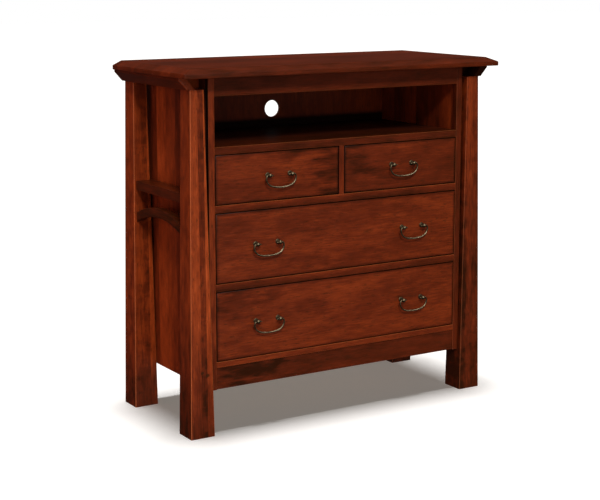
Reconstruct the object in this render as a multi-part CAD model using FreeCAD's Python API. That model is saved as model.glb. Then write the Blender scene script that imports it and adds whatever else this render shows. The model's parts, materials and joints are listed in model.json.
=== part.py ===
import FreeCAD, Part
import math
import os

# Media chest in hardwood, built as a case of boards between four tapered legs, with a face frame,
# four drawers that run on wooden web frames, and a bail pull or two on each drawer.
# Millimetres. X runs along the front, Y from front to back and Z up.
# The origin is on the floor, under the middle of the whole chest's box.

os.makedirs("parts", exist_ok=True)
V = FreeCAD.Vector

# Overall
chest_height = 1080.0
top_width = 1112.0
overrun = 5.0

# Top board, with a wide bevel round its front and sides, and how far it reaches past the case
top_thickness = 27.0
top_edge_height = 13.5
top_bevel_width = 29.0
top_front_overhang = 55.0
top_side_overhang = 101.0

# Caps that lie on the legs under the top board, each open at its front end behind the sloped face
cap_height = 35.0
cap_lip_height = 7.0
cap_ledge = 10.0
cap_slope_width = 25.0
cap_wall = 28.0
cap_hollow_depth = 60.0

# Legs: wider at the foot, narrower under the cap
leg_foot_width = 78.0
leg_foot_depth = 78.0
leg_foot_proud = 18.0
leg_taper_inside = 19.0
leg_taper_outside = 15.0
leg_taper_face = 12.0
leg_taper_hidden = 6.0
leg_edge_radius = 2.5

# Face frame
stile_width = 20.0
frame_thickness = 20.0
rail_height = 22.0
bottom_rail_height = 17.0
top_rail_height = 56.0
apron_height = 66.0
apron_setback = 4.0
case_clearance = 133.0
divider_width = 18.0
frame_edge_radius = 1.2

# Drawer openings, of the height that the openings and the open compartment divide between them
large_opening_share = 0.294
small_opening_share = 0.207

# Case boards
case_depth = 421.0
side_thickness = 19.0
shelf_thickness = 19.0
back_thickness = 6.0
back_inset = 3.0
back_rabbet = 10.0
back_play = 0.5
cable_hole_diameter = 54.0
cable_hole_above_shelf = 57.0

# Side crosspieces and arches between the legs
crosspiece_height = 28.0
crosspiece_bottom = 688.0
crosspiece_inset = 7.0
arch_thickness = 22.0
arch_height = 28.0
arch_crown = 650.0
arch_rise = 34.0
brace_edge_radius = 1.5

# Web frames that the drawers run on
runner_thickness = 17.0
runner_width = 50.0
centre_runner_width = 96.0
rear_rail_depth = 50.0

# Drawer stops glued to the rails behind the drawer fronts
stop_length = 40.0
stop_depth = 22.0
stop_height = 6.0
stop_inset_share = 0.28

# Cleats that hold the top board
cleat_width = 25.0
cleat_height = 25.0
cleat_end_gap = 6.0

# Drawers
drawer_gap = 2.0
drawer_rear_space = 31.0
front_thickness = 20.0
front_edge_radius = 3.0
box_side_thickness = 13.0
box_back_thickness = 13.0
box_top_clearance = 12.0
box_lift = 0.3
box_bottom_thickness = 6.0
box_bottom_height = 10.0
groove_depth = 6.0
tail_lap = 12.0
tail_pitch = 32.0
tail_root_share = 0.5
tail_flare_share = 0.14
tail_margin = 7.0

# Pulls: two posts and a bail that swings in them, both shaped in flats
pull_spacing = 76.0
pull_rise = 4.0
wide_pull_share = 0.607
post_sides = 12
rosette_radius = 8.0
rosette_height = 2.4
post_neck_radius = 4.0
post_head_radius = 6.5
post_reach = 15.5
# How wide the head is, and how far in front of its middle, at each ring from the neck out
post_head_shares = [(0.62, -0.98), (0.88, -0.7), (1.0, -0.4), (1.0, 0.4), (0.86, 0.72), (0.5, 1.0)]
bail_pin_radius = 2.0
bail_pin_play = 0.06
bail_tip = 5.0
bail_lead = 1.5
bail_half_width = 50.5
bail_drop = 37.5
bail_bow_half_width = 35.0
bail_bow_drop = 6.0
bail_grip_radius = 2.8
bail_sides = 8
bail_bend_steps = 4
bail_bow_steps = 3

# Places that follow from the sizes above
half_case = top_width / 2 - top_side_overhang
leg_height = chest_height - top_thickness - cap_height
case_top = chest_height - top_thickness
leg_inner = half_case - leg_taper_inside * case_clearance / leg_height
leg_outer = leg_inner + leg_foot_width
leg_top_back = case_depth + leg_foot_proud - leg_taper_face - back_inset
total_depth = top_front_overhang + leg_top_back + leg_taper_face
face_y = top_front_overhang - total_depth / 2
frame_back_y = face_y + frame_thickness
case_back_y = face_y + case_depth
back_panel_y = case_back_y - back_inset - back_thickness
leg_front = face_y - leg_foot_proud
leg_back = leg_front + leg_foot_depth
chest_back_y = face_y + leg_top_back
legs_middle_y = (leg_front + chest_back_y + leg_taper_face) / 2
rear_rail_front = back_panel_y - rear_rail_depth
half_opening = half_case - stile_width
half_inside = half_case - side_thickness
half_divider = divider_width / 2
apron_top = case_clearance + apron_height
lower_bottom = apron_top + bottom_rail_height
top_rail_bottom = case_top - top_rail_height
openings_height = top_rail_bottom - lower_bottom - rail_height * 3
large_opening_height = openings_height * large_opening_share
small_opening_height = openings_height * small_opening_share
middle_bottom = lower_bottom + large_opening_height + rail_height
small_bottom = middle_bottom + large_opening_height + rail_height
shelf_rail_bottom = small_bottom + small_opening_height
shelf_top = shelf_rail_bottom + rail_height
shelf_underside = shelf_top - shelf_thickness

# The pulls of a narrow drawer and of a wide one, from left to right
one_pull = ["bail"]
two_pulls = ["left_bail", "right_bail"]

# Each drawer: its name, its opening from left to right and from bottom to top, and its pulls
drawers = [
    ("left_small", -half_opening, -half_divider, small_bottom, small_opening_height, one_pull),
    ("right_small", half_divider, half_opening, small_bottom, small_opening_height, one_pull),
    ("middle", -half_opening, half_opening, middle_bottom, large_opening_height, two_pulls),
    ("lower", -half_opening, half_opening, lower_bottom, large_opening_height, two_pulls),
]


def board(x0, x1, y0, y1, z0, z1):
    """A straight board between two corners."""
    return Part.makeBox(x1 - x0, y1 - y0, z1 - z0, V(x0, y0, z0))


def outline(points):
    """A closed flat face through the points."""
    return Part.Face(Part.makePolygon(points + points[:1]))


def along_x(way):
    """Whether an edge runs along the front."""
    return abs(way.x) > abs(way.y) + abs(way.z)


def along_y(way):
    """Whether an edge runs from front to back."""
    return abs(way.y) > abs(way.x) + abs(way.z)


def upright(way):
    """Whether an edge stands upright, or nearly so."""
    return abs(way.z) > abs(way.x) + abs(way.y)


def mirrored(shape):
    """The same piece on the other side of the chest."""
    return shape.mirror(V(0, 0, 0), V(1, 0, 0))


def ring(sides, radius, centre, across, up):
    """The corners of a figure with equal sides, on a circle round a centre."""
    points = []
    for number in range(sides):
        angle = 2 * math.pi * (number + 1 / 2) / sides
        points.append(centre + across * radius * math.cos(angle) + up * radius * math.sin(angle))
    return points


def skin(rings):
    """A closed solid whose flats join each ring of corners to the next, with a flat at each end."""
    faces = [outline(rings[0]), outline(rings[-1])]
    for low, high in zip(rings[:-1], rings[1:]):
        for number in range(len(low)):
            faces.append(outline([low[number - 1], low[number], high[number], high[number - 1]]))
    shell = Part.makeShell(faces)
    shell.sewShape()
    solid = Part.makeSolid(shell)
    return solid.removeSplitter()


def rounded(shape, radius, wanted):
    """The shape with a radius on each straight edge that the test picks by its middle and direction."""
    edges = []
    for edge in shape.Edges:
        first = edge.Vertexes[0].Point
        last = edge.Vertexes[-1].Point
        if wanted((first + last) / 2, (last - first).normalize()):
            edges.append(edge)
    return shape.makeFillet(radius, edges)


def save(name, solids):
    """Writes one sub-part, which is one solid or a group of separate ones."""
    shape = solids if isinstance(solids, Part.Shape) else Part.makeCompound(solids)
    for solid in shape.Solids:
        if not solid.isValid():
            raise ValueError(name)
    shape.exportStep("parts/" + name + ".step")


def front_leg_right():
    """The right front leg, tapered on all four sides from the foot to the cap."""
    front_view = outline([
        V(leg_inner, leg_front, 0),
        V(leg_outer, leg_front, 0),
        V(leg_outer - leg_taper_outside, leg_front, leg_height),
        V(leg_inner + leg_taper_inside, leg_front, leg_height),
    ])
    side_view = outline([
        V(leg_inner, leg_front, 0),
        V(leg_inner, leg_back, 0),
        V(leg_inner, leg_back - leg_taper_hidden, leg_height),
        V(leg_inner, leg_front + leg_taper_face, leg_height),
    ])
    leg = front_view.extrude(V(0, leg_foot_depth, 0)).common(side_view.extrude(V(leg_foot_width, 0, 0)))
    return rounded(leg, leg_edge_radius, lambda middle, way: upright(way))


def rear_leg_right():
    """The right rear leg, the same leg turned front to back."""
    return front_leg_right().mirror(V(0, legs_middle_y, 0), V(0, 1, 0))


def top_board():
    """The top board, whose front and side edges fall away in a wide bevel above a short upright edge."""
    half = top_width / 2
    front = face_y - top_front_overhang
    edge = case_top + top_edge_height
    front_view = outline([
        V(-half, front, case_top),
        V(half, front, case_top),
        V(half, front, edge),
        V(half - top_bevel_width, front, chest_height),
        V(-half + top_bevel_width, front, chest_height),
        V(-half, front, edge),
    ])
    side_view = outline([
        V(-half, front, case_top),
        V(-half, front, edge),
        V(-half, front + top_bevel_width, chest_height),
        V(-half, chest_back_y, chest_height),
        V(-half, chest_back_y, case_top),
    ])
    return front_view.extrude(V(0, chest_back_y - front, 0)).common(side_view.extrude(V(top_width, 0, 0)))


def cap_right():
    """The right cap: a ledge, a sloped outer face and a lip under the top, hollow behind at its front end."""
    inner = half_case
    ledge = leg_outer - leg_taper_outside + cap_ledge
    outer = ledge + cap_slope_width
    front = leg_front + leg_taper_face
    section = outline([
        V(inner, front, leg_height),
        V(ledge, front, leg_height),
        V(outer, front, case_top - cap_lip_height),
        V(outer, front, case_top),
        V(inner, front, case_top),
    ])
    cap = section.extrude(V(0, chest_back_y - front, 0))
    hollow = section.extrude(V(0, cap_hollow_depth, 0))
    hollow.translate(V(-cap_wall, 0, 0))
    return cap.cut(hollow)


def side_panel_right():
    """The right side panel, rabbeted at its rear edge for the back."""
    panel = board(half_inside, half_case, frame_back_y, case_back_y, case_clearance, case_top)
    rabbet = board(
        half_inside - overrun,
        half_inside + back_rabbet,
        back_panel_y,
        case_back_y + overrun,
        case_clearance - overrun,
        case_top + overrun,
    )
    return panel.cut(rabbet)


def brace_outer(z):
    """Where the outer face of a side brace stands at a height, set in from the legs' outer faces."""
    return leg_outer - leg_taper_outside * z / leg_height - crosspiece_inset


def between_legs():
    """The space between the right legs, whose ends lean as the legs' inner faces do."""
    front_view = outline([
        V(0, leg_back, 0),
        V(0, 2 * legs_middle_y - leg_back, 0),
        V(0, 2 * legs_middle_y - leg_back + leg_taper_hidden, leg_height),
        V(0, leg_back - leg_taper_hidden, leg_height),
    ])
    return front_view.extrude(V(leg_outer, 0, 0))


def crosspiece_right():
    """The straight crosspiece between the right legs, hard against the side panel."""
    outer = brace_outer(crosspiece_bottom)
    top = crosspiece_bottom + crosspiece_height
    piece = board(half_case, outer, leg_front, chest_back_y, crosspiece_bottom, top)
    piece = rounded(piece, brace_edge_radius, lambda middle, way: along_y(way) and middle.x > half_case)
    return piece.common(between_legs())


def arch_right():
    """The arched stretcher under the crosspiece, whose ends come down on the legs."""
    start = leg_back - leg_taper_hidden
    end = 2 * legs_middle_y - start
    outer = brace_outer(arch_crown)
    inner = outer - arch_thickness
    foot = arch_crown - arch_rise
    drop = V(0, 0, -arch_height)
    front_end = V(inner, start, foot)
    rear_end = V(inner, end, foot)
    upper = Part.Arc(front_end, V(inner, legs_middle_y, arch_crown), rear_end).toShape()
    lower = upper.translated(drop)
    near = Part.makeLine(front_end, front_end + drop)
    far = Part.makeLine(rear_end, rear_end + drop)
    band = Part.Face(Part.Wire(Part.__sortEdges__([upper, far, lower, near])))
    return band.extrude(V(arch_thickness, 0, 0)).common(between_legs())


def stile_right():
    """The right stile of the face frame."""
    stile = board(half_opening, half_case, face_y, frame_back_y, case_clearance, case_top)
    return rounded(stile, frame_edge_radius, lambda middle, way: upright(way) and middle.y < frame_back_y)


def rail(bottom, height, setback):
    """A rail of the face frame, between the stiles."""
    piece = board(-half_opening, half_opening, face_y + setback, frame_back_y, bottom, bottom + height)
    return rounded(piece, frame_edge_radius, lambda middle, way: along_x(way) and middle.y < frame_back_y)


def divider_post():
    """The upright of the face frame between the two small drawers."""
    post = board(-half_divider, half_divider, face_y, frame_back_y, small_bottom, shelf_rail_bottom)
    return rounded(post, frame_edge_radius, lambda middle, way: upright(way) and middle.y < frame_back_y)


def media_shelf():
    """The floor of the open compartment, level with the top of its rail."""
    return board(-half_inside, half_inside, frame_back_y, back_panel_y, shelf_underside, shelf_top)


def partition():
    """The board between the two small drawers, behind the divider post."""
    return board(-half_divider, half_divider, frame_back_y, back_panel_y, small_bottom, shelf_underside)


def back_panel():
    """The back, let into the side panels, with a round hole for cables into the open compartment."""
    half = half_inside + back_rabbet - back_play
    panel = board(-half, half, back_panel_y, back_panel_y + back_thickness, case_clearance, case_top)
    start = V(0, back_panel_y - overrun, shelf_top + cable_hole_above_shelf)
    hole = Part.makeCylinder(cable_hole_diameter / 2, back_thickness + overrun * 2, start, V(0, 1, 0))
    return panel.cut(hole)


def rear_rails():
    """The rear rails of the three web frames."""
    rails = []
    for top in (lower_bottom, middle_bottom, small_bottom):
        under = top - runner_thickness
        rails.append(board(-half_inside, half_inside, rear_rail_front, back_panel_y, under, top))
    return rails


def drawer_runners():
    """A pair of runners along the side panels for each web frame, and a wide one under the partition."""
    half = centre_runner_width / 2
    under = small_bottom - runner_thickness
    runners = [board(-half, half, frame_back_y, rear_rail_front, under, small_bottom)]
    for top in (lower_bottom, middle_bottom, small_bottom):
        inner = half_inside - runner_width
        under = top - runner_thickness
        runner = board(inner, half_inside, frame_back_y, rear_rail_front, under, top)
        runners.append(runner)
        runners.append(mirrored(runner))
    return runners


def drawer_stops():
    """Two blocks for each drawer, glued behind its front where the drawer's bottom clears them."""
    blocks = []
    for name, left, right, bottom, height, pulls in drawers:
        inset = (right - left) * stop_inset_share
        for middle in (left + inset, right - inset):
            blocks.append(board(
                middle - stop_length / 2,
                middle + stop_length / 2,
                frame_back_y + box_lift,
                frame_back_y + box_lift + stop_depth,
                bottom,
                bottom + stop_height,
            ))
    return blocks


def top_cleats():
    """A cleat along each side panel, under the top board."""
    cleat = board(
        half_inside - cleat_width,
        half_inside,
        frame_back_y,
        back_panel_y - cleat_end_gap,
        case_top - cleat_height,
        case_top,
    )
    return [cleat, mirrored(cleat)]


def tails(x0, x1, root_y, length, z0, z1):
    """A row of dovetails that grow wider from their root, towards the front if the length is negative."""
    count = max(1, int((z1 - z0) / tail_pitch))
    pitch = (z1 - z0) / count
    half_root = pitch * tail_root_share / 2
    half_tip = half_root + abs(length) * tail_flare_share
    row = []
    for number in range(count):
        middle = z0 + pitch * (number + 1 / 2)
        face = outline([
            V(x0, root_y, middle - half_root),
            V(x0, root_y, middle + half_root),
            V(x0, root_y + length, middle + half_tip),
            V(x0, root_y + length, middle - half_tip),
        ])
        row.append(face.extrude(V(x1 - x0, 0, 0)))
    return row


def pull_places(left, right, bottom, height, pulls):
    """The middle of each pull on a drawer front, on the face of the drawer."""
    middle = (left + right) / 2
    z = bottom + height / 2 + pull_rise
    if pulls == one_pull:
        return [V(middle, face_y, z)]
    away = half_opening * wide_pull_share
    return [V(middle - away, face_y, z), V(middle + away, face_y, z)]


def post_places(left, right, bottom, height, pulls):
    """The foot of every post on a drawer front."""
    places = []
    for place in pull_places(left, right, bottom, height, pulls):
        for side in (-1, 1):
            places.append(place + V(side * pull_spacing / 2, 0, 0))
    return places


def drawer_pieces(left, right, bottom, height, pulls):
    """A drawer's wooden pieces: front, two dovetailed sides, back and bottom."""
    x0 = left + drawer_gap
    x1 = right - drawer_gap
    z0 = bottom + box_lift
    z1 = bottom + height - box_top_clearance
    front_back = face_y + front_thickness
    rear = case_back_y - drawer_rear_space
    back_front = rear - box_back_thickness
    panel_z = z0 + box_bottom_height
    back_z = panel_z + box_bottom_thickness

    front = board(x0, x1, face_y, front_back, bottom + drawer_gap, bottom + height - drawer_gap)
    front = rounded(front, front_edge_radius, lambda middle, way: not along_y(way) and middle.y < front_back)
    back = board(x0, x1, back_front, rear, back_z, z1)
    panel = board(
        x0 + box_side_thickness - groove_depth,
        x1 - box_side_thickness + groove_depth,
        front_back - groove_depth,
        rear,
        panel_z,
        back_z,
    )
    sides = []
    for inner, outer in ((x0 + box_side_thickness, x0), (x1 - box_side_thickness, x1)):
        low, high = sorted((inner, outer))
        side = board(low, high, front_back, back_front, z0, z1)
        heel = board(low, high, back_front, rear, z0, back_z)
        front_tails = tails(low, high, front_back, -tail_lap, back_z + tail_margin, z1 - tail_margin)
        rear_tails = tails(low, high, back_front, box_back_thickness, back_z + tail_margin, z1 - tail_margin)
        front = front.cut(Part.makeCompound(front_tails))
        back = back.cut(Part.makeCompound(rear_tails))
        side = side.multiFuse([heel] + front_tails + rear_tails).removeSplitter()
        sides.append(side.cut(panel))
    return front.cut(panel), sides, back, panel


def pull_post(place):
    """A post: flat rosette, slim neck and a head that swells to a belt, bored across for the bail."""
    profile = [
        (rosette_radius, 0),
        (rosette_radius, rosette_height),
        (post_neck_radius, rosette_height),
    ]
    for wide, out in post_head_shares:
        profile.append((post_head_radius * wide, post_reach + post_head_radius * out))
    rings = [ring(post_sides, radius, V(0, -out, 0), V(1, 0, 0), V(0, 0, 1)) for radius, out in profile]
    across = V(-post_head_radius - overrun, -post_reach, 0)
    length = (post_head_radius + overrun) * 2
    eye = Part.makeCylinder(bail_pin_radius + bail_pin_play, length, across, V(1, 0, 0))
    post = skin(rings).cut(eye)
    post.translate(place)
    return post


def arc_points(centre, radius, start, end, steps):
    """Points along an arc in the plane of the bail, from one angle to another."""
    points = []
    for number in range(steps + 1):
        angle = start + (end - start) * number / steps
        points.append(centre + V(radius * math.cos(angle), 0, radius * math.sin(angle)))
    return points


def bail(place):
    """The bail: a pin through each post, a turn down beside it, and a bowed grip between round corners."""
    lean = 2 * math.atan(bail_bow_drop / bail_bow_half_width)
    corner = (bail_half_width - bail_bow_half_width) / (1 - math.sin(lean))
    corner_z = corner * math.cos(lean) - (bail_drop - bail_bow_drop)
    bow_radius = bail_bow_half_width / math.sin(lean)
    shoulder_x = pull_spacing / 2 + post_head_radius
    turn_x = shoulder_x + bail_lead
    shoulder = bail_half_width - turn_x
    level = math.pi / 2
    turn = arc_points(V(turn_x, 0, -shoulder), shoulder, level, 0, bail_bend_steps)
    bend = arc_points(V(bail_half_width - corner, 0, corner_z), corner, 0, lean - level, bail_bend_steps)
    bow = arc_points(V(0, 0, bow_radius - bail_drop), bow_radius, lean - level, -level, bail_bow_steps)
    right = [V(shoulder_x, 0, 0)] + turn + bend + bow[1:]
    left = [V(-point.x, 0, point.z) for point in reversed(right[:-1])]
    pipe = Part.BRepOffsetAPI.MakePipeShell(Part.makePolygon(right + left))
    pipe.setTransitionMode(1)
    pipe.add(outline(ring(bail_sides, bail_grip_radius, right[0], V(0, 1, 0), V(0, 0, 1))).OuterWire)
    pipe.build()
    pipe.makeSolid()
    tip_x = pull_spacing / 2 - post_head_radius - bail_tip
    pin = Part.makeCylinder(bail_pin_radius, shoulder_x - tip_x, V(tip_x, 0, 0), V(1, 0, 0))
    whole = pipe.shape().multiFuse([pin, mirrored(pin)])
    whole.translate(place - V(0, post_reach, 0))
    return whole


save("top_board", top_board())
for side, turned in (("right", lambda shape: shape), ("left", mirrored)):
    save(side + "_cap", turned(cap_right()))
    save("front_" + side + "_leg", turned(front_leg_right()))
    save("rear_" + side + "_leg", turned(rear_leg_right()))
    save(side + "_side_panel", turned(side_panel_right()))
    save(side + "_crosspiece", turned(crosspiece_right()))
    save(side + "_arch", turned(arch_right()))
    save(side + "_stile", turned(stile_right()))
save("top_rail", rail(top_rail_bottom, top_rail_height, 0))
save("shelf_rail", rail(shelf_rail_bottom, rail_height, 0))
save("upper_drawer_rail", rail(small_bottom - rail_height, rail_height, 0))
save("lower_drawer_rail", rail(middle_bottom - rail_height, rail_height, 0))
save("bottom_rail", rail(apron_top, bottom_rail_height, 0))
save("apron", rail(case_clearance, apron_height, apron_setback))
save("divider_post", divider_post())
save("media_shelf", media_shelf())
save("partition", partition())
save("back_panel", back_panel())
save("rear_rails", rear_rails())
save("drawer_runners", drawer_runners())
save("drawer_stops", drawer_stops())
save("top_cleats", top_cleats())

for name, left, right, bottom, height, pulls in drawers:
    front, sides, back, panel = drawer_pieces(left, right, bottom, height, pulls)
    save(name + "_drawer_front", front)
    save(name + "_drawer_sides", sides)
    save(name + "_drawer_back", back)
    save(name + "_drawer_bottom", panel)
    feet = post_places(left, right, bottom, height, pulls)
    save(name + "_pull_posts", [pull_post(place) for place in feet])
    places = pull_places(left, right, bottom, height, pulls)
    for pull, place in zip(pulls, places):
        save(name + "_" + pull, bail(place))
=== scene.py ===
"""Dresses the media chest: finish for every board, turned and bent pulls, screws, and a plain studio."""

import json
import math

import bmesh
import bpy
from mathutils import Matrix, Vector


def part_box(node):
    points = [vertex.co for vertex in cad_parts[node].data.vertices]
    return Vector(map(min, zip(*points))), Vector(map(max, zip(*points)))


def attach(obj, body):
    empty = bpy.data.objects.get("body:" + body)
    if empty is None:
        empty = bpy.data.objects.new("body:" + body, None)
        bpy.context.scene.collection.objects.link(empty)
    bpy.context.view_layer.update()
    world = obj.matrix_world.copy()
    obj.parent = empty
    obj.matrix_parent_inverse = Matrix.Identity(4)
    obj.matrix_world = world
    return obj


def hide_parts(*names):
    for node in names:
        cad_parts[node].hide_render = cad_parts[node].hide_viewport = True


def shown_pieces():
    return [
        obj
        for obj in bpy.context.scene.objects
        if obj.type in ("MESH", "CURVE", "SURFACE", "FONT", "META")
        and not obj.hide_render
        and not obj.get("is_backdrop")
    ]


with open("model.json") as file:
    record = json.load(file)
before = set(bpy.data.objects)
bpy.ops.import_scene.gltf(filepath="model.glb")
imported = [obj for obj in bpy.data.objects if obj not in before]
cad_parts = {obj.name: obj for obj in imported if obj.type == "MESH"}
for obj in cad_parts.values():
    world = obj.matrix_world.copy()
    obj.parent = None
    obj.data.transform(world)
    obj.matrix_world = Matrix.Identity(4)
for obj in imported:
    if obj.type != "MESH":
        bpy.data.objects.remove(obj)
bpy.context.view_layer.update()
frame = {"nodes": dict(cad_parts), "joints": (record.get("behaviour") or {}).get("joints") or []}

bl_info = {
    "name": "Media chest",
    "version": (1, 0, 0),
    "blender": (4, 5, 0),
    "location": "3D View > Sidebar > Chest",
    "description": "Finishes the chest's boards, makes its pulls and screws, and sets up a plain studio",
    "category": "Object",
}

MM = 0.001
FACE_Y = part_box("lower_drawer_front")[0].y
CASE_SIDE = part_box("right_stile")[1].x
LEG_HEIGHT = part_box("front_left_leg")[1].z
LEG_WIDTH = 80 * MM
UP = Vector((0, 0, 1))
FRONT = Vector((0, -1, 0))
RIGHT = Vector((1, 0, 0))

BAILS = {
    "left_small": ("left_small_bail",),
    "right_small": ("right_small_bail",),
    "middle": ("middle_left_bail", "middle_right_bail"),
    "lower": ("lower_left_bail", "lower_right_bail"),
}
UPRIGHTS = ("left_stile", "right_stile", "divider_post")
RAILS = ("shelf_rail", "upper_drawer_rail", "lower_drawer_rail", "bottom_rail", "top_rail", "apron")
HINGES = {joint["child"]: Vector(joint["pos_m"]) for joint in frame["joints"] if joint["type"] == "hinge"}


def linear(colour):
    """A hex colour as it is seen, turned to linear light."""
    parts = [int(colour[place:place + 2], 16) / 255 for place in (1, 3, 5)]
    return [part / 12.92 if part <= 0.04045 else ((part + 0.055) / 1.055) ** 2.4 for part in parts]


def shade(colour):
    """A colour with full alpha."""
    return (*colour, 1.0)


class ChestPullSizes(bpy.types.PropertyGroup):
    """Sizes of the pulls' turned posts and bent bails."""
    spacing: bpy.props.FloatProperty(
        name="Post spacing", description="Between the two posts of a pull", default=76 * MM, unit="LENGTH")
    rosette_radius: bpy.props.FloatProperty(
        name="Rosette radius", description="Of the flat foot against the drawer",
        default=8 * MM, unit="LENGTH")
    rosette_height: bpy.props.FloatProperty(
        name="Rosette height", description="How far the foot stands out", default=2.4 * MM, unit="LENGTH")
    neck_radius: bpy.props.FloatProperty(
        name="Neck radius", description="Of the slim part behind the head", default=4 * MM, unit="LENGTH")
    head_radius: bpy.props.FloatProperty(
        name="Head radius", description="Of the round head at its belt", default=6.5 * MM, unit="LENGTH")
    eye_radius: bpy.props.FloatProperty(
        name="Eye radius", description="Of the bore that the bail turns in", default=2.06 * MM, unit="LENGTH")
    pin_radius: bpy.props.FloatProperty(
        name="Pin radius", description="Of the bail where it passes through a head",
        default=2 * MM, unit="LENGTH")
    grip_radius: bpy.props.FloatProperty(
        name="Grip radius", description="Of the bail at the middle of its grip",
        default=2.75 * MM, unit="LENGTH")
    arm_radius: bpy.props.FloatProperty(
        name="Arm radius", description="Of the bail beside the posts", default=2.5 * MM, unit="LENGTH")
    half_width: bpy.props.FloatProperty(
        name="Half width", description="From the bail's middle to its widest",
        default=50.5 * MM, unit="LENGTH")
    drop: bpy.props.FloatProperty(
        name="Drop", description="From the pin down to the grip", default=37.5 * MM, unit="LENGTH")
    tip: bpy.props.FloatProperty(
        name="Tip", description="How far the bail's end stands past the head", default=5 * MM, unit="LENGTH")


class ChestScrewSizes(bpy.types.PropertyGroup):
    """Sizes of the screws that hold the pulls."""
    head_radius: bpy.props.FloatProperty(
        name="Head radius", description="Of a pan head", default=4.2 * MM, unit="LENGTH")
    head_height: bpy.props.FloatProperty(
        name="Head height", description="Of a pan head", default=2.6 * MM, unit="LENGTH")
    recess_width: bpy.props.FloatProperty(
        name="Recess width", description="Across the cross recess", default=4.4 * MM, unit="LENGTH")


class ChestEasing(bpy.types.PropertyGroup):
    """How far the sharp arrises of the boards are sanded round."""
    top_radius: bpy.props.FloatProperty(
        name="Top board", description="Radius of its edges", default=1.6 * MM, unit="LENGTH")
    leg_radius: bpy.props.FloatProperty(
        name="Legs", description="Radius of the long edges of legs and crosspieces",
        default=3.2 * MM, unit="LENGTH")
    frame_radius: bpy.props.FloatProperty(
        name="Frame", description="Radius of the long edges of rails, stiles and post", default=1.6 * MM,
        unit="LENGTH")
    front_radius: bpy.props.FloatProperty(
        name="Drawer fronts", description="Radius round the drawer fronts' faces",
        default=1.6 * MM, unit="LENGTH")
    brace_radius: bpy.props.FloatProperty(
        name="Caps and arches", description="Radius of their edges", default=1.5 * MM, unit="LENGTH")


class ChestCherry(bpy.types.PropertyGroup):
    """Colours and figure of the stained cherry."""
    dark: bpy.props.FloatVectorProperty(
        name="Dark", description="Where the stain took most", default=linear("#2A0F03"), subtype="COLOR")
    middle: bpy.props.FloatVectorProperty(
        name="Middle", description="Most of the wood", default=linear("#591E08"), subtype="COLOR")
    light: bpy.props.FloatVectorProperty(
        name="Light", description="Where the stain took least", default=linear("#82320F"), subtype="COLOR")
    pale: bpy.props.FloatVectorProperty(
        name="Pale", description="The brightest staves", default=linear("#A8481C"), subtype="COLOR")
    gum: bpy.props.FloatVectorProperty(
        name="Gum", description="Rings, spots and glue lines", default=linear("#2A1606"), subtype="COLOR")
    # Painted highlight on the rounded edges, which also stands for stain thinned by sanding there
    worn: bpy.props.FloatVectorProperty(
        name="Worn", description="Edges where sanding thins the stain", default=linear("#B5622F"),
        subtype="COLOR")
    # Painted shade: the near-black put into the gaps, beside them and at the back of the shelf, where shade
    # falls
    unwiped: bpy.props.FloatVectorProperty(
        name="Unwiped", description="Stain left in the gaps", default=linear("#140603"), subtype="COLOR")
    cloud_size: bpy.props.FloatVectorProperty(
        name="Cloud size", description="Along and across the grain, in mm", default=(420, 120), size=2, min=1)
    cloud_strength: bpy.props.FloatProperty(
        name="Cloud strength", description="How much broad clouds differ in tone", default=0.7, min=0)
    mottle_size: bpy.props.FloatVectorProperty(
        name="Mottle size", description="Along and across the grain, in mm", default=(90, 24), size=2, min=1)
    mottle_strength: bpy.props.FloatProperty(
        name="Mottle strength", description="How much small blotches differ in tone", default=0.62, min=0)
    streak_size: bpy.props.FloatVectorProperty(
        name="Streak size", description="Along and across the grain, in mm", default=(60, 3.4), size=2, min=1)
    streak_strength: bpy.props.FloatProperty(
        name="Streak strength", description="How much the streaks differ in tone", default=0.5, min=0)
    fibre_strength: bpy.props.FloatProperty(
        name="Fibre strength", description="How much the fine fibres differ in tone", default=0.55, min=0)
    spot_strength: bpy.props.FloatProperty(
        name="Spot strength", description="How dark the scattered spots are", default=0.5, min=0)
    ring_width: bpy.props.FloatProperty(
        name="Ring width", description="Between growth rings on the face, in mm", default=8.0, min=0.5)
    ring_strength: bpy.props.FloatProperty(
        name="Ring strength", description="How dark the late wood is", default=0.12, min=0)
    roughness: bpy.props.FloatProperty(
        name="Roughness", description="Of the satin lacquer", default=0.32, min=0.05, max=1)


class ChestBrass(bpy.types.PropertyGroup):
    """Colours of the pulls' brass."""
    patina: bpy.props.FloatVectorProperty(
        name="Patina", description="The darkened brass", default=linear("#574B38"), subtype="COLOR")
    rubbed: bpy.props.FloatVectorProperty(
        name="Rubbed", description="Brass that wear has bared", default=linear("#D6C3A0"), subtype="COLOR")


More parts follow.
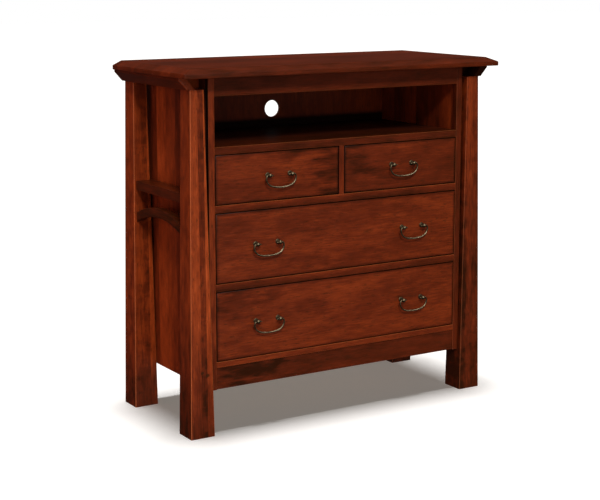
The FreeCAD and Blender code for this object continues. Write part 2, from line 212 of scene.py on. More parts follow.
class ChestStage(bpy.types.PropertyGroup):
    """Floor, lights and camera of the studio. Every light's numbers mean what the key light's do."""
    floor_colour: bpy.props.FloatVectorProperty(
        name="Floor", description="Colour of the floor", default=linear("#FBFAF8"), subtype="COLOR")
    floor_size: bpy.props.FloatProperty(
        name="Floor size", description="Side of the floor", default=60.0, unit="LENGTH")
    # Painted light: the floor glows evenly, which sets the grey of the shadow under the chest
    floor_glow: bpy.props.FloatVectorProperty(
        name="Floor glow", description="What the paper floor lets through from below",
        default=(0.186, 0.167, 0.15), subtype="COLOR")
    mirrored: bpy.props.FloatProperty(
        name="Mirrored", description="Brightness of the dark flags that the gloss mirrors",
        default=0.02, min=0.0)
    key_light: bpy.props.FloatVectorProperty(
        name="Key light", description="Degrees to the left, degrees high, degrees wide, watts a square metre",
        default=(20, 37, 9, 2.15), size=4)
    front_light: bpy.props.FloatVectorProperty(
        name="Front light", description="Wide and soft, from the front", default=(0, 14, 120, 0.4), size=4)
    bounce_light: bpy.props.FloatVectorProperty(
        name="Bounce light", description="Thrown back by a far pale floor", default=(5, -12, 60, 0.9), size=4)
    left_light: bpy.props.FloatVectorProperty(
        name="Left light", description="Soft, from the left", default=(85, 2, 60, 1.3), size=4)
    right_light: bpy.props.FloatVectorProperty(
        name="Right light", description="Soft, from the right", default=(-102, 5, 40, 1.1), size=4)
    back_light: bpy.props.FloatVectorProperty(
        name="Back light", description="Soft, from behind on the right", default=(-150, 32, 90, 1.9), size=4)
    top_light: bpy.props.FloatVectorProperty(
        name="Top light", description="Soft, from above", default=(0, 88, 110, 2.0), size=4)
    pull_light: bpy.props.FloatVectorProperty(
        name="Pull light", description="Soft, on the pulls only", default=(15, 55, 90, 4.2), size=4)
    floor_light: bpy.props.FloatVectorProperty(
        name="Floor light", description="From above, on the floor only", default=(0, 90, 12, 3.3), size=4)
    left_tint: bpy.props.FloatVectorProperty(
        name="Left tint", description="Colour of the left light, which a red wall warms",
        default=(1.0, 0.68, 1.0), subtype="COLOR")
    camera_place: bpy.props.FloatVectorProperty(
        name="Camera", description="Where the camera stands", default=(-2.37781, -3.78839, 1.35485),
        subtype="TRANSLATION")
    camera_yaw: bpy.props.FloatProperty(
        name="Camera yaw", description="Turn to the right from straight back", default=math.radians(31.787),
        subtype="ANGLE")
    camera_pitch: bpy.props.FloatProperty(
        name="Camera pitch", description="Tilt down from level", default=math.radians(9.448), subtype="ANGLE")
    camera_lens: bpy.props.FloatProperty(
        name="Lens", description="Focal length on a 36 mm wide frame", default=86.265, unit="CAMERA")
    camera_shift: bpy.props.FloatProperty(
        name="Shift", description="Upward shift, as a share of the frame's width", default=-0.07)


def new_piece(name, mesh, body, stands_for=(), finish=None):
    """Puts a finished mesh in the scene as one piece of the chest that moves with a body."""
    piece = bpy.data.objects.new(name, mesh)
    bpy.context.scene.collection.objects.link(piece)
    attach(piece, body)
    if stands_for:
        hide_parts(*stands_for)
    if finish:
        mesh.materials.clear()
        mesh.materials.append(finish)


def mesh_from(shape, name, degrees):
    """Turns a bmesh into a mesh that is smooth except where its faces meet at more than an angle."""
    bmesh.ops.recalc_face_normals(shape, faces=shape.faces)
    mesh = bpy.data.meshes.new(name)
    shape.to_mesh(mesh)
    shape.free()
    mesh.shade_smooth()
    mesh.set_sharp_from_angle(angle=math.radians(degrees))
    return mesh


def applied(piece):
    """The piece's mesh with its modifiers worked in, or a curve's tube as a mesh."""
    graph = bpy.context.evaluated_depsgraph_get()
    return bpy.data.meshes.new_from_object(piece.evaluated_get(graph))


def turned(profile, axis, steps):
    """A closed turning: the profile of (radius, distance along the axis) points spun once round the axis."""
    shape = bmesh.new()
    side = axis.orthogonal().normalized()
    points = [shape.verts.new(side * radius + axis * along) for radius, along in profile]
    edges = [shape.edges.new(pair) for pair in zip(points[:-1], points[1:])]
    bmesh.ops.spin(shape, geom=points + edges, axis=axis, angle=math.tau, steps=steps, use_merge=True)
    bmesh.ops.remove_doubles(shape, verts=shape.verts, dist=0.001 * MM)
    return shape


def cut_out(mesh, cutter):
    """The mesh less the room that another mesh takes."""
    whole = bpy.data.objects.new("whole", mesh)
    tool = bpy.data.objects.new("tool", cutter)
    for item in (whole, tool):
        bpy.context.scene.collection.objects.link(item)
    difference = whole.modifiers.new("difference", "BOOLEAN")
    difference.object = tool
    difference.solver = "EXACT"
    result = applied(whole)
    for item in (whole, tool):
        bpy.data.objects.remove(item)
    return result


def rubbed(mesh, measure):
    """Stores on each point how far hands have rubbed the patina off, from nought to one."""
    values = [min(1.0, max(0.0, measure(vert.co))) for vert in mesh.vertices]
    mesh.attributes.new("rub", "FLOAT", "POINT").data.foreach_set("value", values)
    return mesh


def post_mesh(sizes):
    """One post: a stepped rosette, a hollow neck and a round head with an eye across it."""
    reach = abs(HINGES["lower_left_bail"].y - FACE_Y)
    head = sizes.head_radius
    foot = sizes.rosette_height
    rim = foot * 0.42
    shoulder = foot * 0.4
    profile = [(0, 0), (sizes.rosette_radius, 0), (sizes.rosette_radius, rim)]
    for step in range(1, 5):
        angle = math.pi / 2 * step / 4
        profile.append((sizes.rosette_radius - shoulder * (1 - math.cos(angle)),
                        rim + shoulder * math.sin(angle)))
    profile.append((sizes.neck_radius + foot * 0.45, foot))
    neck_end = reach - head * 0.86
    for step in range(7):
        share = step / 6
        waist = sizes.neck_radius * (1 - 0.2 * math.sin(math.pi * share))
        profile.append((waist, foot + (neck_end - foot) * share))
    # The head's arc runs from the neck at 56 degrees below its belt to its crown
    for step in range(15):
        angle = math.radians(-56 + 146 * step / 14)
        profile.append((head * math.cos(angle) if step < 14 else 0, reach + head * math.sin(angle)))
    shape = turned(profile, FRONT, 40)
    mesh = mesh_from(shape, "post", 34)
    bore = bmesh.new()
    across = Matrix.Translation(FRONT * reach) @ Matrix.Rotation(math.pi / 2, 4, "Y")
    bmesh.ops.create_cone(bore, cap_ends=True, segments=28, radius1=sizes.eye_radius,
                          radius2=sizes.eye_radius, depth=head * 3, matrix=across)
    mesh = cut_out(mesh, mesh_from(bore, "bore", 34))
    return rubbed(mesh, lambda point: 0.25 * (-point.y - neck_end) / (reach + head - neck_end))


def bail_mesh(sizes):
    """The bail: a bar that goes through both heads, turns down beside them and hangs in a rounded bow."""
    half = sizes.spacing / 2
    beside = half + sizes.head_radius
    tip = half - sizes.head_radius - sizes.tip
    curve = bpy.data.curves.new("bail_line", "CURVE")
    curve.dimensions = "3D"
    curve.bevel_depth = 1.0
    curve.bevel_resolution = 5
    curve.resolution_u = 10
    curve.use_fill_caps = True
    wide = sizes.half_width
    drop = sizes.drop
    pin, arm, grip = sizes.pin_radius, sizes.arm_radius, sizes.grip_radius
    right = [
        (tip - 0.6 * MM, -1.5 * MM, 0.5 * MM),
        (tip - 0.1 * MM, -1.1 * MM, 1.6 * MM),
        (tip + 1.4 * MM, -0.4 * MM, pin),
        (tip + 3.4 * MM, 0, pin),
        (half, 0, pin),
        (beside - 0.6 * MM, 0, pin),
        (beside + 0.4 * MM, 0, arm),
        (wide - 2.6 * MM, -0.9 * MM, arm),
        (wide + 0.2 * MM, -5.6 * MM, arm),
        (wide + 0.1 * MM, -14 * MM, arm),
        (wide - 3.6 * MM, -22.5 * MM, arm),
        (wide - 12 * MM, drop * -0.81, (arm + grip) / 2),
        (wide - 27 * MM, drop * -0.945, grip),
        (0, -drop, grip),
    ]
    left = [(-x, z, radius) for x, z, radius in reversed(right[:-1])]
    spline = curve.splines.new("NURBS")
    spline.points.add(len(right) + len(left) - 1)
    for point, (x, z, radius) in zip(spline.points, right + left):
        point.co = (x, 0, z, 1)
        point.radius = radius
    spline.order_u = 3
    spline.use_endpoint_u = True
    line = bpy.data.objects.new("bail_line", curve)
    bpy.context.scene.collection.objects.link(line)
    mesh = applied(line)
    bpy.data.objects.remove(line)
    return rubbed(mesh, lambda point: 0.12 - 0.2 * point.z / drop - 0.05 * point.y / grip)


def screw_mesh(sizes):
    """A pan head with a cross recess, standing on a face that looks to the back."""
    rim = sizes.head_height * 0.4
    profile = [(0, 0), (sizes.head_radius, 0), (sizes.head_radius, rim)]
    for step in range(1, 7):
        angle = math.pi / 2 * step / 6
        profile.append((sizes.head_radius * math.cos(angle) if step < 6 else 0,
                        rim + (sizes.head_height - rim) * math.sin(angle)))
    head = mesh_from(turned(profile, -FRONT, 28), "head", 50)
    for turn in (0, math.pi / 2):
        slot = bmesh.new()
        across = Matrix.Rotation(turn, 4, "Y") @ Matrix.Diagonal((sizes.recess_width, sizes.head_height,
                                                                  sizes.recess_width * 0.22, 1))
        bmesh.ops.create_cube(slot, size=1.0, matrix=Matrix.Translation(-FRONT * sizes.head_height) @ across)
        head = cut_out(head, mesh_from(slot, "slot", 34))
    return head


def placed(mesh, name, place):
    """A copy of a mesh, moved to its place."""
    copy = mesh.copy()
    copy.name = name
    copy.transform(Matrix.Translation(place))
    return copy


def eased_copy(name, edge_radius, along=None, face=None):
    """A copy of a CAD board with its sharp edges rounded: all, those along a direction, or its face's."""
    shape = bmesh.new()
    shape.from_mesh(frame["nodes"][name].data)
    bmesh.ops.remove_doubles(shape, verts=shape.verts, dist=0.01 * MM)
    bmesh.ops.dissolve_limit(shape, angle_limit=math.radians(1), verts=shape.verts, edges=shape.edges)
    sharp = [edge for edge in shape.edges if edge.is_manifold and edge.calc_face_angle() > math.radians(24)]
    if along is not None:
        sharp = [edge for edge in sharp
                 if abs((edge.verts[1].co - edge.verts[0].co).normalized().dot(along)) > 0.95]
    if face is not None:
        sharp = [edge for edge in sharp if max(vert.co.y for vert in edge.verts) < face + 0.1 * MM
                 and edge.calc_length() > 20 * MM]
    bmesh.ops.bevel(shape, geom=sharp, offset=edge_radius, offset_type="OFFSET", segments=3, profile=0.5,
                    affect="EDGES", material=-1)
    return mesh_from(shape, name + "_eased", 28)


def eased_piece(node, body, slot, edge_radius, **edges):
    """Puts the eased copy of a CAD board in its place."""
    new_piece(node + "_eased", eased_copy(node, edge_radius, **edges), body, [node])


def post_places(spacing, face, ending):
    """Each pull post's drawer, name and place: on the drawer front's outer face, nought, or its inner one."""
    for drawer, bails in BAILS.items():
        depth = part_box(drawer + "_drawer_front")[face].y
        for bail in bails:
            for side, away in (("left", -1), ("right", 1)):
                place = HINGES[bail].copy()
                place.x += away * spacing / 2
                place.y = depth
                yield drawer, bail.replace("bail", side + ending), place


class ChestPullPosts(bpy.types.Operator):
    """Turns the twelve posts of the pulls and stands them on the drawer fronts"""
    bl_idname = "chest.pull_posts"
    bl_label = "Pull posts"

    def execute(self, context):
        sizes = context.scene.chest_pulls
        mesh = post_mesh(sizes)
        brass = brass_finish(context.scene.chest_brass)
        for drawer, name, place in post_places(sizes.spacing, 0, "_post_turned"):
            new_piece(name, placed(mesh, name, place), drawer + "_drawer",
                      [drawer + "_pull_posts"], brass)
        return {"FINISHED"}


class ChestBails(bpy.types.Operator):
    """Bends the six bails and hangs them in their posts"""
    bl_idname = "chest.bails"
    bl_label = "Bails"

    def execute(self, context):
        mesh = bail_mesh(context.scene.chest_pulls)
        brass = brass_finish(context.scene.chest_brass)
        for bail, place in HINGES.items():
            name = bail + "_bent"
            new_piece(name, placed(mesh, name, place), bail, [bail], brass)
        return {"FINISHED"}


class ChestScrews(bpy.types.Operator):
    """Drives the screws that hold the pull posts, seen inside the drawers"""
    bl_idname = "chest.screws"
    bl_label = "Screws"

    def execute(self, context):
        mesh = screw_mesh(context.scene.chest_screws)
        steel = steel_finish()
        for drawer, name, place in post_places(context.scene.chest_pulls.spacing, 1, "_screw"):
            new_piece(name, placed(mesh, name, place), drawer + "_drawer", finish=steel)
        return {"FINISHED"}


class ChestEasedBoards(bpy.types.Operator):
    """Copies the sharp boards with their edges sanded round"""
    bl_idname = "chest.eased_boards"
    bl_label = "Eased boards"

    def execute(self, context):
        easing = context.scene.chest_easing
        eased_piece("top_board", "carcass", "cherry_top", easing.top_radius)
        for side in ("left", "right"):
            for part in ("cap", "arch"):
                eased_piece(f"{side}_{part}", "carcass", "cherry_legs", easing.brace_radius)
            for part in (f"front_{side}_leg", f"rear_{side}_leg", side + "_crosspiece"):
                along = UP if part.endswith("leg") else FRONT
                eased_piece(part, "carcass", "cherry_legs", easing.leg_radius, along=along)
        for drawer in BAILS:
            node = drawer + "_drawer_front"
            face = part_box(node)[0].y
            eased_piece(node, drawer + "_drawer", "cherry_fronts", easing.front_radius, face=face)
        for nodes, along in ((UPRIGHTS, UP), (RAILS, RIGHT)):
            for node in nodes:
                eased_piece(node, "carcass", "cherry_frame", easing.frame_radius, along=along)
        return {"FINISHED"}


def add_node(tree, kind, values=(), links=(), stops=(), **settings):
    """Adds a node with its settings, input values, links from sockets or first outputs, and ramp colours."""
    node = tree.nodes.new("ShaderNode" + kind)
    for key, value in settings.items():
        setattr(node, key, value)
    for key, value in dict(values).items():
        node.inputs[key].default_value = value
    for key, source in dict(links).items():
        socket = source.outputs[0] if isinstance(source, bpy.types.Node) else source
        tree.links.new(socket, node.inputs[key])
    for number, (position, colour) in enumerate(stops):
        # A new ramp has two stops already
        elements = node.color_ramp.elements
        stop = elements[number] if number < 2 else elements.new(position)
        stop.position = position
        stop.color = shade(colour)
    return node


def blank_material(name):
    """A new material and its tree, with nothing in it."""
    material = bpy.data.materials.new(name)
    material.use_nodes = True
    material.node_tree.nodes.clear()
    return material, material.node_tree


def finish_surface(tree, values, links):
    """The surface shader and the output that end a material."""
    add_node(tree, "OutputMaterial", links={0: add_node(tree, "BsdfPrincipled", values, links)})


# Which of a board's directions run along its grain, across its width and through its thickness
GRAINS = {"x": "XZY", "x_flat": "XYZ", "y": "YZX", "y_flat": "YXZ", "z": "ZXY", "z_side": "ZYX"}

# Marks in the cherry: length along the grain and width across it, in mm. Real fibres and flecks are finer
# than the render shows, so they are drawn wider.
FIBRE = (36, 2.4)
FLECK = (18, 3.6)
BLOTCH = (34, 15)
SPOT = (60, 26)
DASH = (34, 60)
RING_WANDER = (700, 95)
GLUE_LINE = 0.7
# The same for the bare wood of the drawer boxes and the web frames
BARE_FIBRE = (60, 1.3)
BARE_STREAK = (420, 16)
# Clouds of the patina, pits of the casting and clouds of the zinc, in mm. Real pits are finer.
PATINA_CLOUD = 7
CAST_PIT = 0.9
ZINC_CLOUD = 2.5

# The strip round a drawer front's face where shade is painted, and how far into a gap painted shade stays
# dark
RIM_WIDTH = 11 * MM
GAP_DEPTH = 12 * MM
# Changes of tone: painted shade in that strip, a leg's dashes, and painted shade and light from the bottom of
# a rail or a leg to its top
RIM_TONE = -0.35
DASH_TONE = -0.24
RAIL_TONES = (-0.3, 0.12)
LEG_TONES = (-0.26, 0.2)
# The staves of a leg stand out fully from this height up, and less towards the foot
STAVES_CLEAR = 0.4
STAVES_AT_FOOT = 0.3


def streaks(tree, vector, size, detail):
    """Marks drawn out along the grain, of a length and a width in millimetres, from nought to one."""
    length, width = size
    drawn = add_node(tree, "VectorMath", {1: (1000 / length, 1000 / width, 1000 / width)}, {0: vector},
                     operation="MULTIPLY")
    return add_node(tree, "TexNoise", {"Scale": 1.0, "Detail": detail, "Roughness": 0.6}, {"Vector": drawn})


def clipped(tree, socket, start, end, top=1.0):
    """Nought up to the start value, the top from the end value on, and smooth between."""
    return add_node(tree, "MapRange", {1: start, 2: end, 4: top}, {0: socket},
                    interpolation_type="SMOOTHSTEP")


def sum_of(tree, first, second, weight=1.0):
    """One value plus another times its weight."""
    return add_node(tree, "Math", {1: weight}, {0: second, 2: first}, operation="MULTIPLY_ADD")


def summed(tree, start, parts):
    """A start value plus each part's distance from one half, times its weight."""
    (socket, weight), *others = parts
    even = start - sum(share for part, share in parts) / 2
    total = add_node(tree, "Math", {1: weight, 2: even}, {0: socket}, operation="MULTIPLY_ADD")
    for socket, weight in others:
        total = sum_of(tree, total, socket, weight)
    return total


def place_parts(tree):
    """How far right, back and up a point of the chest lies, as X, Y and Z."""
    place = add_node(tree, "TexCoord")
    return add_node(tree, "SeparateXYZ", links={0: place.outputs["Object"]}).outputs


def normal_parts(tree):
    """How far a face looks right, back and up, as X, Y and Z."""
    surface = add_node(tree, "NewGeometry")
    return add_node(tree, "SeparateXYZ", links={0: surface.outputs["Normal"]}).outputs


def wood_space(tree, grain, seed):
    """Object coordinates turned so that X runs along the grain, and moved so that no two boards match."""
    parts = place_parts(tree)
    along, across, through = (parts[axis] for axis in GRAINS[grain])
    turned_to = add_node(tree, "CombineXYZ", links={0: along, 1: across, 2: through})
    offset = (seed * 1.37 % 7, seed * 0.73 % 5, seed * 2.11 % 6)
    moved = add_node(tree, "VectorMath", {1: offset}, {0: turned_to}, operation="ADD")
    return moved, across


def staves_of(tree, vector, across, width, seed):
    """Splits a glued-up board into staves: new coordinates, a random tone for each, and the glue lines."""
    position = add_node(tree, "Math", {1: 1000 / width, 2: seed * 0.31 % 1}, {0: across},
                        operation="MULTIPLY_ADD")
    index = add_node(tree, "Math", links={0: position}, operation="FLOOR")
    tagged = add_node(tree, "Math", {1: seed * 3.7}, {0: index}, operation="ADD")
    chance = add_node(tree, "TexWhiteNoise", links={"W": tagged}, noise_dimensions="1D")
    shifted = add_node(tree, "VectorMath", {1: (1.9, 0.4, 0.5)}, {0: chance.outputs["Color"], 2: vector},
                       operation="MULTIPLY_ADD")
    share = add_node(tree, "Math", links={0: position}, operation="FRACT")
    off = add_node(tree, "Math", {1: 0.5}, {0: share}, operation="SUBTRACT")
    away = add_node(tree, "Math", links={0: off}, operation="ABSOLUTE")
    seam = add_node(tree, "Math", {1: 0.5 - GLUE_LINE / 2 / width}, {0: away}, operation="GREATER_THAN")
    return shifted, chance.outputs["Value"], seam


def arris_of(tree):
    """One on the rounded edges of a board, where a highlight is painted that also stands for stain thinned by
    sanding, nought on its flat faces.
    """
    surface = add_node(tree, "NewGeometry")
    size = add_node(tree, "VectorMath", links={0: surface.outputs["Normal"]}, operation="ABSOLUTE")
    x, y, z = add_node(tree, "SeparateXYZ", links={0: size}).outputs
    most = add_node(tree, "Math", links={0: x, 1: y}, operation="MAXIMUM")
    most = add_node(tree, "Math", links={0: most, 1: z}, operation="MAXIMUM")
    return add_node(tree, "MapRange", {1: 0.97, 2: 0.87}, {0: most})


def looking(tree, axis, way, start, end):
    """One on faces that look one way along an axis, nought on the others."""
    turned_to = add_node(tree, "Math", {1: way}, {0: normal_parts(tree)[axis]}, operation="MULTIPLY")
    return clipped(tree, turned_to, start, end)


def front_side(tree):
    """One on faces turned or sloped to the front, nought on level ones and on those turned to the side."""
    return looking(tree, "Y", -1.0, 0.12, 0.4)


def painted_rim_shade(tree, low, high):
    """One at the outline of a drawer front's face, where shade from the gap round it is painted, fading to
    nought well inside it.
    """
    middle = (low + high) / 2
    place = add_node(tree, "TexCoord")
    away = add_node(tree, "VectorMath", {1: middle}, {0: place.outputs["Object"]}, operation="SUBTRACT")
    size = add_node(tree, "VectorMath", links={0: away}, operation="ABSOLUTE")
    left = add_node(tree, "VectorMath", {0: high - middle}, {1: size}, operation="SUBTRACT")
    x, y, z = add_node(tree, "SeparateXYZ", links={0: left}).outputs
    nearest = add_node(tree, "Math", links={0: x, 1: z}, operation="MINIMUM")
    return clipped(tree, nearest, RIM_WIDTH, 0.0)


def ragged_distance(tree, centre, scale, mottle, raggedness):
    """How far a point lies from a centre, with each direction scaled, made ragged by the mottle."""
    place = add_node(tree, "TexCoord")
    away = add_node(tree, "VectorMath", {1: centre}, {0: place.outputs["Object"]}, operation="SUBTRACT")
    scaled = add_node(tree, "VectorMath", {1: scale}, {0: away}, operation="MULTIPLY")
    length = add_node(tree, "VectorMath", links={0: scaled}, operation="LENGTH")
    return sum_of(tree, length.outputs["Value"], mottle, raggedness)


def painted_gap_shade(tree, hidden):
    """Painted shade in narrow gaps: one where a face is turned to its neighbour across a gap, nought where it
    is open.

    Its setting is 1 or -1 for a board's right or left side, "rims" for a drawer front, "edges" for a rail or
    post;
    then the edges facing into a gap's mouth get the painted shade.
    """
    if hidden not in ("edges", "rims"):
        return looking(tree, "X", hidden, 0.55, 0.9)
    normal = normal_parts(tree)
    facing = add_node(tree, "Math", links={0: normal["Y"]}, operation="ABSOLUTE")
    low, high = 0.75, 0.97
    if hidden == "edges":
        # The upper edges catch some light, so less shade is painted on them
        facing = sum_of(tree, facing, normal["Z"], 0.35)
        low, high = 0.45, 0.8
    turned_in = add_node(tree, "MapRange", {1: low, 2: high, 3: 1.0, 4: 0.0}, {0: facing})
    mouth = clipped(tree, place_parts(tree)["Y"], FACE_Y + GAP_DEPTH, FACE_Y + GAP_DEPTH / 2)
    return add_node(tree, "Math", links={0: turned_in, 1: mouth}, operation="MULTIPLY")


def leg_level(tree, level, vector, across, tones):
    """A leg's tone: three glued layers counted outwards from the case, dark dashes, painted shade at the foot
    and light at the top.
    """
    side = add_node(tree, "Math", links={0: across}, operation="ABSOLUTE")
    share = add_node(tree, "MapRange", {1: CASE_SIDE, 2: CASE_SIDE + LEG_WIDTH}, {0: side})
    stops = [(start, (tone, tone, tone)) for start, tone in zip((0.0, 0.25, 0.48), tones)]
    layers = add_node(tree, "ValToRGB", links={0: share}, stops=stops)
    layers.color_ramp.interpolation = "CONSTANT"
    up = place_parts(tree)["Z"]
    fade = add_node(tree, "MapRange", {1: 0.0, 2: STAVES_CLEAR, 3: STAVES_AT_FOOT, 4: 1.0}, {0: up})
    layer = add_node(tree, "Math", links={0: layers, 1: fade}, operation="MULTIPLY")
    level = sum_of(tree, level, layer)
    shapes = clipped(tree, streaks(tree, vector, DASH, 2.0), 0.46, 0.6)
    dark = add_node(tree, "MapRange", {1: 0.2, 2: 0.0}, {0: layer})
    dashes = add_node(tree, "Math", links={0: shapes, 1: dark}, operation="MULTIPLY")
    level = sum_of(tree, level, dashes, DASH_TONE)
    # Painted shade towards the foot and painted light towards the top
    foot, top = LEG_TONES
    height = add_node(tree, "MapRange", {1: 0.0, 2: LEG_HEIGHT, 3: foot, 4: top}, {0: up})
    return sum_of(tree, level, height)


def cherry_marks(tree, look, vector, mottle, seam, knots):
    """How dark the marks of the wood itself are: late wood, gum flecks, spots, glue lines and knots."""
    through = add_node(tree, "SeparateXYZ", links={0: vector}).outputs["Y"]
    ring = add_node(tree, "Math", {1: 1000 / look.ring_width}, {0: through}, operation="MULTIPLY")
    bent = sum_of(tree, ring, streaks(tree, vector, RING_WANDER, 2.0), 9.0)
    share = add_node(tree, "Math", links={0: bent}, operation="FRACT")
    late = add_node(tree, "Math", {1: 5.0}, {0: share}, operation="POWER")
    flecks = clipped(tree, streaks(tree, vector, FLECK, 3.0), 0.57, 0.7, 0.6)
    spots = clipped(tree, streaks(tree, vector, SPOT, 4.0), 0.6, 0.78, look.spot_strength)
    marks = sum_of(tree, sum_of(tree, flecks, late, look.ring_strength), spots)
    if seam is not None:
        marks = sum_of(tree, marks, seam, 0.6)
    for *centre, radius in knots:
        ragged = ragged_distance(tree, centre, (1, 0.3, 1.3), mottle, 5 * MM)
        inside = add_node(tree, "MapRange", {1: radius + 2.5 * MM, 2: radius + 6 * MM, 3: 0.85, 4: 0.0},
                          {0: ragged})
        marks = sum_of(tree, marks, inside)
    return marks


def cherry_finish(name, look, grain, seed, box, staves=0, tone=0, spread=0, figure=1, tones=(), flank=0,
                  front=0, fall=False, patches=(), knots=(), worn=0, hidden=None, dim=None):
    """Cherry, planed and sanded, wiped with a red-brown stain and sprayed with satin lacquer.

    The stain took unevenly, so there are soft light and dark clouds, small dark spots and fine fibres, with
    faint growth rings under them. Wide boards and legs are glued from staves that differ in tone. Painted
    shade makes the narrow gaps and the back of the shelf nearly black, and darkens drawer rims, rail bottoms,
    legs' feet and some faces; painted light brightens the legs' tops, some faces and the rounded edges, where
    it also stands for stain thinned by sanding.
    """
    material, tree = blank_material(name)
    vector, across = wood_space(tree, grain, seed)
    parts = []
    seam = None
    if staves:
        vector, chance, seam = staves_of(tree, vector, across, staves, seed)
        parts.append((chance, spread))
    cloud = streaks(tree, vector, look.cloud_size, 2.0)
    mottle = streaks(tree, vector, look.mottle_size, 3.0)
    streak = streaks(tree, vector, look.streak_size, 4.0)
    fibre = streaks(tree, vector, FIBRE, 4.0)
    parts += [(cloud, look.cloud_strength), (mottle, look.mottle_strength * figure),
              (streak, look.streak_strength * figure), (fibre, look.fibre_strength)]
    if figure > 1:
        parts.append((streaks(tree, vector, BLOTCH, 4.0), figure - 1))
    level = summed(tree, 0.5 + tone, parts)
    if tones:
        level = leg_level(tree, level, vector, across, tones)
    # Painted shade on faces turned to the left
    if flank:
        level = sum_of(tree, level, looking(tree, "X", -1, 0.55, 0.9), flank)
    # Painted light on faces turned to the front where the tone is above nought, painted shade where it is
    # below
    if front:
        level = sum_of(tree, level, front_side(tree), front)
    # Painted shade in a strip round a drawer front's face, beside the gaps
    if hidden == "rims":
        level = sum_of(tree, level, painted_rim_shade(tree, *box), RIM_TONE)
    # Painted shade: a rail darker towards its bottom and lighter towards its top
    if fall:
        bottom, top = RAIL_TONES
        drop = add_node(tree, "MapRange", {1: box[0].z, 2: box[1].z, 3: bottom, 4: top},
                        {0: place_parts(tree)["Z"]})
        level = sum_of(tree, level, drop)
    for x, z, half_width, half_height, change in patches:
        ragged = ragged_distance(tree, (x, 0, z), (1 / half_width, 0, 1 / half_height), mottle, 3.0)
        level = sum_of(tree, level, clipped(tree, ragged, 2.9, 1.7), change)
    # A level of one half is the middle colour and one is the light one, and the pale one is above it
    scaled = add_node(tree, "Math", {1: 0.7}, {0: level}, operation="MULTIPLY")
    stops = ((0.0, look.dark), (0.35, look.middle), (0.7, look.light), (1.0, look.pale))
    stained = add_node(tree, "ValToRGB", links={0: scaled}, stops=stops)

    # What covers the stained wood, in turn, and how far: the wood's marks, a painted highlight on the edges
    # that is partly sanded stain, and painted shade in gaps and bands
    covers = [(cherry_marks(tree, look, vector, mottle, seam, knots), look.gum)]
    # Painted highlight on the rounded edges, partly standing for stain thinned by sanding
    if worn:
        edge_wear_and_sheen = add_node(tree, "Math", {1: worn}, {0: arris_of(tree)}, operation="MULTIPLY")
        covers.append((edge_wear_and_sheen, look.worn))
    if hidden is not None:
        covers.append((painted_gap_shade(tree, hidden), look.unwiped))
    # Painted shade: darker towards one end along an axis; along Z only on faces turned to the front
    if dim is not None:
        axis, bright, dark = dim
        depth = clipped(tree, place_parts(tree)[axis], bright, dark)
        if axis == "Z":
            depth = add_node(tree, "Math", links={0: depth, 1: front_side(tree)}, operation="MULTIPLY")
        covers.append((depth, look.unwiped))
    for amount, colour in covers:
        stained = add_node(tree, "Mix", {"B": shade(colour)}, {"Factor": amount, "A": stained},
                           data_type="RGBA", clamp_factor=True).outputs["Result"]
    rough = add_node(tree, "MapRange", {1: 0.3, 2: 0.7, 3: look.roughness - 0.04, 4: look.roughness + 0.06},
                     {0: fibre})
    relief = add_node(tree, "Bump", {"Strength": 0.1, "Distance": 0.12 * MM}, {"Height": fibre})
    finish_surface(tree, {"IOR": 1.5, "Specular IOR Level": 0.25},
                   {"Base Color": stained, "Roughness": rough, "Normal": relief})
    return material


def bare_finish(name, grain, seed, colours, staves):
    """Unstained wood, sanded and clear sealed: pale, dry, with fine brown fibres."""
    material, tree = blank_material(name)
    vector, across = wood_space(tree, grain, seed)
    parts = []
    if staves:
        vector, chance, _ = staves_of(tree, vector, across, staves, seed)
        parts.append((chance, 0.35))
    fibre = streaks(tree, vector, BARE_FIBRE, 3.0)
    parts += [(streaks(tree, vector, BARE_STREAK, 3.0), 0.7), (fibre, 0.5)]
    stops = zip((0.1, 0.9), (linear(colour) for colour in colours))
    ramp = add_node(tree, "ValToRGB", links={0: summed(tree, 0.5, parts)}, stops=stops)
    relief = add_node(tree, "Bump", {"Strength": 0.15, "Distance": 0.2 * MM}, {"Height": fibre})
    rough = add_node(tree, "MapRange", {1: 0.3, 2: 0.7, 3: 0.5, 4: 0.65}, {0: fibre})
    finish_surface(tree, {"IOR": 1.5, "Specular IOR Level": 0.25},
                   {"Base Color": ramp, "Roughness": rough, "Normal": relief})
    return material


def brass_finish(look):
    """Cast brass, darkened by a chemical patina, then rubbed back where fingers and polish reach."""
    found = bpy.data.materials.get("antique_brass_patina")
    if found:
        return found
    material, tree = blank_material("antique_brass_patina")
    place = {"Vector": add_node(tree, "TexCoord").outputs["Object"]}
    cloud = add_node(tree, "TexNoise", {"Scale": 1000 / PATINA_CLOUD, "Detail": 4.0}, place)
    pits = add_node(tree, "TexNoise", {"Scale": 1000 / CAST_PIT, "Detail": 3.0}, place)
    rub = add_node(tree, "Attribute", attribute_name="rub")
    worn = add_node(tree, "Math", {1: 0.5, 2: -0.25}, {0: cloud}, operation="MULTIPLY_ADD")
    both = add_node(tree, "Math", links={0: rub.outputs["Fac"], 1: worn}, operation="ADD")
    shown = add_node(tree, "MapRange", {1: 0.25, 2: 0.8}, {0: both})
    tint = add_node(tree, "Mix", {"A": shade(look.patina), "B": shade(look.rubbed)}, {"Factor": shown},
                    data_type="RGBA").outputs["Result"]
    rough = add_node(tree, "MapRange", {3: 0.46, 4: 0.32}, {0: shown})
    relief = add_node(tree, "Bump", {"Strength": 0.2, "Distance": 0.1 * MM}, {"Height": pits})
    finish_surface(tree, {"Metallic": 1.0}, {"Base Color": tint, "Roughness": rough, "Normal": relief})
    return material


